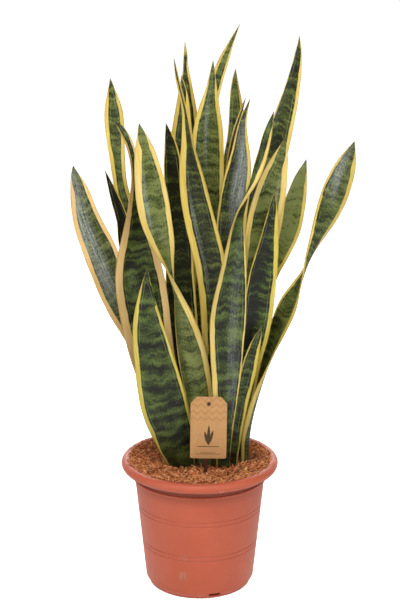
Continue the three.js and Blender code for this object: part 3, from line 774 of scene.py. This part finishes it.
def soil_profile():
    """From the pot's floor up its wall, over the rolled rim and in across the top."""
    profile = [(FOOT_RADIUS - 2 * WALL - GAP, FLOOR + GAP),
               (wall_radius(FLOOR + FOOT_RISE) - WALL - GAP, FLOOR + FOOT_RISE),
               (WALL_TOP_RADIUS - WALL - GAP, COLLAR_FOOT - 2 * MM),
               (COLLAR_RADIUS - WALL - GAP, COLLAR_FOOT + GAP),
               (COLLAR_RADIUS - WALL - GAP, COLLAR_TOP),
               (BEAD_MIDDLE[0] - BEAD - GAP, BEAD_MIDDLE[1] - 3 * MM)]
    profile += arc(BEAD_MIDDLE, BEAD + GAP, 180, 118, 8)
    radius, height = profile[-1]
    while radius > 6 * MM:
        radius -= SOIL_RING
        slope = min(max((radius - CLUMP_RADIUS) / (BEAD_MIDDLE[0] - BEAD - CLUMP_RADIUS), 0), 1)
        heap = SOIL_TOP + SOIL_RISE * slope ** 0.7
        height += (heap - height) * 0.6
        profile.append((radius, height))
    return profile


def make_soil():
    """The coir's lumpy surface, with loose fibres and crumbs of pith lying on it."""
    soil = turn_profile("coir_soil", soil_profile(), SOIL_SEGMENTS)
    points = points_of(soil)
    for point in points:
        radius = math.hypot(point[0], point[1])
        top = point[2] > POT_TOP - 9 * MM and radius < BEAD_MIDDLE[0]
        if not top:
            continue
        lumps = noise.fractal(Vector((*point[:2], 0)) * 85, 0.8, 2.1, 3)
        crumbs = noise.fractal(Vector((*point[:2], 0.3)) * 420, 0.9, 2.0, 2)
        edge = min(max((BEAD_MIDDLE[0] - radius) / (9 * MM), 0), 1)
        point[2] += (1.5 * lumps + 0.75 * crumbs) * MM * (0.25 + 0.75 * edge) - 0.6 * MM * edge
    set_points(soil, points)
    finish_piece(soil, soil_material(), "coir", "soil", angle=80)
    skin = fibre_material()
    scatter(soil, "coir_fibres", fibre_shape(), FIBRES, (0.4, 1.5), skin, 3)
    scatter(soil, "coir_crumbs", crumb_shape(), CRUMBS, (0.35, 1.3), skin, 5)


def fibre_shape():
    """One loose fibre: a thin three-sided strand, bent, as points and faces."""
    bpy.ops.object.select_all(action="DESELECT")
    bpy.ops.mesh.primitive_cylinder_add(
        vertices=3, radius=0.5 * MM, depth=10 * MM, rotation=(0, math.pi / 2, 0))
    strand = bpy.context.object
    bpy.ops.object.transform_apply(location=False, rotation=True, scale=True)
    bpy.ops.object.mode_set(mode="EDIT")
    for station in (-2.4, -0.5, 1.6, 3.2):
        bpy.ops.mesh.select_all(action="SELECT")
        bpy.ops.mesh.bisect(plane_co=(station * MM, 0, 0), plane_no=(1, 0, 0))
    bpy.ops.object.mode_set(mode="OBJECT")
    points = points_of(strand)
    share = points[:, 0] / (4.5 * MM)
    points[:, 1] += 1.3 * MM * share ** 2
    points[:, 2] += 0.35 * MM * np.sin(3 * share)
    return strand, points


def crumb_shape():
    """One crumb of coir pith: an uneven lump of a few facets."""
    bpy.ops.object.select_all(action="DESELECT")
    bpy.ops.mesh.primitive_ico_sphere_add(subdivisions=1, radius=1.0 * MM)
    lump = bpy.context.object
    points = points_of(lump)
    dice = random.Random(SEED)
    for point in points:
        point *= dice.uniform(0.65, 1.25)
    points[:, 2] *= 0.7
    return lump, points


def scatter(ground, name, shape, count, sizes, material, seed):
    """Copies of a small shape, lying on the ground at random, as one piece."""
    model, points = shape
    faces = [tuple(polygon.vertices) for polygon in model.data.polygons]
    dice = random.Random(SEED * seed)
    all_points, all_faces, tints = [], [], []
    while len(tints) < count:
        radius = (BEAD_MIDDLE[0] - 1.5 * MM) * math.sqrt(dice.uniform(0.03, 1))
        around = dice.uniform(0, 2 * math.pi)
        above = Vector((radius * math.cos(around), radius * math.sin(around), 2 * POT_TOP))
        hit, spot, normal, _ = ground.ray_cast(above, Vector((0, 0, -1)))
        if not hit:
            continue
        turn = Matrix.Rotation(dice.uniform(0, 2 * math.pi), 3, "Z")
        tilt = Matrix.Rotation(dice.gauss(0, 0.28), 3, "Y")
        lie = normal.to_track_quat("Z", "Y").to_matrix()
        size = dice.uniform(*sizes)
        bend = dice.uniform(0.5, 1.5)
        place = np.array(lie @ turn @ tilt)
        moved = (points * (size, size * bend, min(size, 1))) @ place.T + np.array(spot)
        start = len(tints) * len(points)
        all_points.append(moved)
        all_faces += [tuple(start + corner for corner in face) for face in faces]
        tints.append(dice.random())
    mesh = bpy.data.meshes.new(name)
    mesh.from_pydata(np.concatenate(all_points), [], all_faces)
    bpy.data.objects.remove(model)
    piece = bpy.data.objects.new(name, mesh)
    bpy.context.scene.collection.objects.link(piece)
    set_attribute(piece, "tint", np.repeat(np.array(tints), len(points)))
    finish_piece(piece, material, "coir", angle=60)


def darkened_in_patches(tree, tone, place):
    """Darker at scattered damp spots, and in a patch behind the right leaves."""
    spots = add(tree, "ShaderNodeTexNoise", {
        "Vector": place, "Scale": 75.0, "Detail": 3.0, "Roughness": 0.6})
    scattered = add(tree, "ShaderNodeMapRange", {
        "Value": spots, "From Min": 0.56, "From Max": 0.66, "To Max": 0.6})
    off = add(tree, "ShaderNodeVectorMath", {0: place, 1: HOLLOW}, operation="DISTANCE")
    hollow = add(tree, "ShaderNodeMapRange", {
        "Value": off.outputs["Value"], "From Min": 0.022, "From Max": 0.006, "To Max": 0.7})
    return add(tree, "ShaderNodeMixRGB", {
        "Fac": add(tree, "ShaderNodeMath", {0: scattered, 1: hollow}, operation="MAXIMUM"),
        "Color1": tone, "Color2": colour("#4a2412")})


def soil_material():
    """Shredded coir: damp brown pith between orange-brown fibres, rough and matt."""
    material, tree, shader = new_material("coir_pith")
    place = add(tree, "ShaderNodeTexCoord").outputs["Object"]
    clumps = add(tree, "ShaderNodeTexNoise", {
        "Vector": place, "Scale": 260.0, "Detail": 4.0, "Roughness": 0.65})
    tone = add(tree, "ShaderNodeValToRGB", {"Fac": clumps}, stops=[
        (0.34, "#3f1c0c"), (0.46, "#8f4824"), (0.56, "#b86535"), (0.7, "#cc8049")])
    tone = darkened_in_patches(tree, tone, place)
    tree.links.new(tone.outputs[0], shader.inputs["Base Color"])
    shader.inputs["Roughness"].default_value = 0.95
    shader.inputs["Specular IOR Level"].default_value = 0.2
    rough = add(tree, "ShaderNodeTexNoise", {
        "Vector": place, "Scale": 700.0, "Detail": 3.0, "Roughness": 0.6})
    bump = add(tree, "ShaderNodeBump", {"Height": rough, "Strength": 0.8, "Distance": 0.6 * MM})
    tree.links.new(bump.outputs[0], shader.inputs["Normal"])
    return material


def fibre_material():
    """Dry coir fibre: each strand its own brown, from dark pith to pale tan, with fine length."""
    material, tree, shader = new_material("coir_fibre")
    tint = add(tree, "ShaderNodeAttribute", attribute_name="tint")
    place = add(tree, "ShaderNodeTexCoord").outputs["Object"]
    mottle = add(tree, "ShaderNodeTexNoise", {"Vector": place, "Scale": 600.0, "Detail": 2.0})
    mixed = add(tree, "ShaderNodeMath", {0: mottle, 1: 0.3, 2: tint.outputs["Fac"]},
                operation="MULTIPLY_ADD")
    tone = add(tree, "ShaderNodeValToRGB", {"Fac": mixed}, stops=[
        (0.15, "#5e2b12"), (0.38, "#b36334"), (0.75, "#d6854c"), (1.0, "#ecb07c")])
    tone = darkened_in_patches(tree, tone, place)
    tree.links.new(tone.outputs[0], shader.inputs["Base Color"])
    shader.inputs["Roughness"].default_value = 0.85
    shader.inputs["Specular IOR Level"].default_value = 0.3
    bump = add(tree, "ShaderNodeBump", {"Height": mottle, "Strength": 0.5, "Distance": 0.2 * MM})
    tree.links.new(bump.outputs[0], shader.inputs["Normal"])
    return material


# ---- label ----

PEG = Vector((12, -43, 264)) * MM   # middle of the card's hole
CARD_TILT = math.radians(0.8)
MOTIF_FOOT = (0.0, -57.0)           # mm from the peg's middle to the foot of the printed leaves
MOTIF_LEAVES = ((-15, 20), (1, 28), (17, 22))   # degrees of lean, mm long


def make_label():
    """The kraft card and the brown plastic stake that it hangs on."""
    card = copy_of("label_card", "kraft_card")
    stake = copy_of("label_stake", "plastic_stake")
    for piece, width in ((card, 0.18 * MM), (stake, 0.3 * MM)):
        only(piece)
        bpy.ops.object.mode_set(mode="EDIT")
        bpy.ops.mesh.select_all(action="SELECT")
        bpy.ops.mesh.dissolve_limited(angle_limit=math.radians(1))
        bpy.ops.object.mode_set(mode="OBJECT")
        use_modifier(piece, "BEVEL", width=width, segments=2, limit_method="ANGLE",
                     angle_limit=math.radians(40))
    finish_piece(card, card_material(), "kraft_card", "label_card", angle=35)
    finish_piece(stake, stake_material(), "stake_plastic", "label_stake", angle=35)


def card_material():
    """Unbleached kraft board, uncoated: short fibres show as flecks, and ink sinks in matt.

    The print is a plain sprout of three blades over a few rules, on a paler tooth pattern.
    """
    material, tree, shader = new_material("printed_kraft_board")
    place = add(tree, "ShaderNodeTexCoord").outputs["Object"]
    centred = add(tree, "ShaderNodeMapping", {
        "Vector": place, "Location": PEG, "Rotation": (0, CARD_TILT, 0), "Scale": (MM, MM, MM),
    }, vector_type="TEXTURE")
    spot = add(tree, "ShaderNodeSeparateXYZ", {0: centred})
    pulp = add(tree, "ShaderNodeMapping", {"Vector": place, "Scale": (700, 900, 1500)})
    flecks = add(tree, "ShaderNodeTexNoise", {
        "Vector": pulp, "Scale": 1.0, "Detail": 4.0, "Roughness": 0.65})
    board = add(tree, "ShaderNodeValToRGB", {"Fac": flecks}, stops=[
        (0.3, "#b3844f"), (0.48, "#c4935f"), (0.62, "#c99a67"), (0.75, "#d6ad7d")])

    zigzag = add(tree, "ShaderNodeMath", {0: spot.outputs["X"], 1: 5.0}, operation="PINGPONG")
    rows = add(tree, "ShaderNodeMath", {
        0: add(tree, "ShaderNodeMath", {0: zigzag, 1: spot.outputs["Z"]}, operation="ADD"), 1: 4.5,
    }, operation="PINGPONG")
    stripe = add(tree, "ShaderNodeMath", {0: rows, 1: 1.6}, operation="LESS_THAN")
    upper = add(tree, "ShaderNodeMath", {0: spot.outputs["Z"], 1: -26.0}, operation="GREATER_THAN")
    pale = add(tree, "ShaderNodeMath", {
        0: add(tree, "ShaderNodeMath", {0: stripe, 1: upper}, operation="MULTIPLY"), 1: 0.55,
    }, operation="MULTIPLY")
    printed = add(tree, "ShaderNodeMixRGB", {
        "Fac": pale, "Color1": board, "Color2": colour("#ab7c4c")})

    ink = 0.0
    for lean, length in MOTIF_LEAVES:
        turn = math.radians(lean)
        leaf_place = add(tree, "ShaderNodeMapping", {
            "Vector": centred, "Location": (MOTIF_FOOT[0], 0, MOTIF_FOOT[1]),
            "Rotation": (0, turn, 0), "Scale": (1, 1, length),
        }, vector_type="TEXTURE")
        leaf_spot = add(tree, "ShaderNodeSeparateXYZ", {0: leaf_place})
        rise = leaf_spot.outputs["Z"]
        belly = add(tree, "ShaderNodeMath", {
            0: rise, 1: add(tree, "ShaderNodeMath", {0: 1.0, 1: rise}, operation="SUBTRACT"),
        }, operation="MULTIPLY")
        half = add(tree, "ShaderNodeMath", {0: belly, 1: 8.0}, operation="MULTIPLY")
        reach = add(tree, "ShaderNodeMath", {0: leaf_spot.outputs["X"]}, operation="ABSOLUTE")
        blade = add(tree, "ShaderNodeMath", {0: reach, 1: half}, operation="LESS_THAN")
        ink = add(tree, "ShaderNodeMath", {0: ink, 1: blade}, operation="MAXIMUM")
    for low, high, reach in ((-59.4, -58.4, 14), (-69.6, -69.0, 16), (-67.9, -67.3, 10)):
        middle = (low + high) / 2
        in_rule = add(tree, "ShaderNodeMath", {
            0: spot.outputs["Z"], 1: middle, 2: (high - low) / 2}, operation="COMPARE")
        in_reach = add(tree, "ShaderNodeMath", {
            0: spot.outputs["X"], 1: 0.0, 2: float(reach)}, operation="COMPARE")
        rule = add(tree, "ShaderNodeMath", {0: in_rule, 1: in_reach}, operation="MULTIPLY")
        ink = add(tree, "ShaderNodeMath", {0: ink, 1: rule}, operation="MAXIMUM")
    inked = add(tree, "ShaderNodeMixRGB", {
        "Fac": add(tree, "ShaderNodeMath", {0: ink, 1: 0.9}, operation="MULTIPLY"),
        "Color1": printed, "Color2": colour("#2b2118")})
    tree.links.new(inked.outputs[0], shader.inputs["Base Color"])
    shader.inputs["Roughness"].default_value = 0.8
    shader.inputs["Specular IOR Level"].default_value = 0.35
    paper = add(tree, "ShaderNodeBump", {
        "Height": flecks, "Strength": 0.3, "Distance": 0.08 * MM})
    tree.links.new(paper.outputs[0], shader.inputs["Normal"])
    return material


def stake_material():
    """Brown polystyrene, injection moulded: a low gloss with a faint flow grain."""
    material, tree, shader = new_material("brown_polystyrene")
    place = add(tree, "ShaderNodeTexCoord").outputs["Object"]
    flow = add(tree, "ShaderNodeMapping", {"Vector": place, "Scale": (500, 500, 60)})
    grain = add(tree, "ShaderNodeTexNoise", {"Vector": flow, "Scale": 1.0, "Detail": 3.0})
    tone = add(tree, "ShaderNodeValToRGB", {"Fac": grain}, stops=[
        (0.35, "#3c1a10"), (0.55, "#4c2317"), (0.7, "#5b2d1e")])
    tree.links.new(tone.outputs[0], shader.inputs["Base Color"])
    shader.inputs["Roughness"].default_value = 0.42
    shader.inputs["IOR"].default_value = 1.59
    bump = add(tree, "ShaderNodeBump", {"Height": grain, "Strength": 0.2, "Distance": 0.1 * MM})
    tree.links.new(bump.outputs[0], shader.inputs["Normal"])
    return material


# ---- rhizomes ----

def make_rhizomes():
    """The jointed root stocks under the soil, rounded and ringed where old scales sat."""
    material = rhizome_material()
    for node in (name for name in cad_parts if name.startswith("rhizome_")):
        stock = copy_of(node, node.replace("rhizome_", "root_stock_"))
        use_modifier(stock, "REMESH", mode="VOXEL", voxel_size=1.4 * MM)
        points = points_of(stock)
        for point in points:
            inward = Vector((point[0], point[1], 0)) * 160
            point[2] -= abs(noise.noise(inward)) * 0.8 * MM
        set_points(stock, points)
        use_modifier(stock, "SMOOTH", factor=0.5, iterations=2)
        finish_piece(stock, material, "rhizome", node, angle=60)


def rhizome_material():
    """Rhizome skin: pale ochre flesh under a thin papery bark with darker rings."""
    material, tree, shader = new_material("rhizome_bark")
    place = add(tree, "ShaderNodeTexCoord").outputs["Object"]
    rings = add(tree, "ShaderNodeTexWave", {
        "Vector": place, "Scale": 90.0, "Distortion": 3.0, "Detail": 2.0})
    tone = add(tree, "ShaderNodeValToRGB", {"Fac": rings.outputs["Fac"]}, stops=[
        (0.1, "#8a5a2c"), (0.4, "#b9853f"), (0.9, "#cf9f58")])
    tree.links.new(tone.outputs[0], shader.inputs["Base Color"])
    shader.inputs["Roughness"].default_value = 0.7
    bump = add(tree, "ShaderNodeBump", {
        "Height": rings.outputs["Fac"], "Strength": 0.5, "Distance": 0.5 * MM})
    tree.links.new(bump.outputs[0], shader.inputs["Normal"])
    return material


# ---- assembly ----

set_camera()
set_light()
lay_floor()
make_pot()
make_soil()
make_rhizomes()
make_label()
for seed, node in enumerate(LEAF_LOOKS):
    grow_leaf(node, seed)
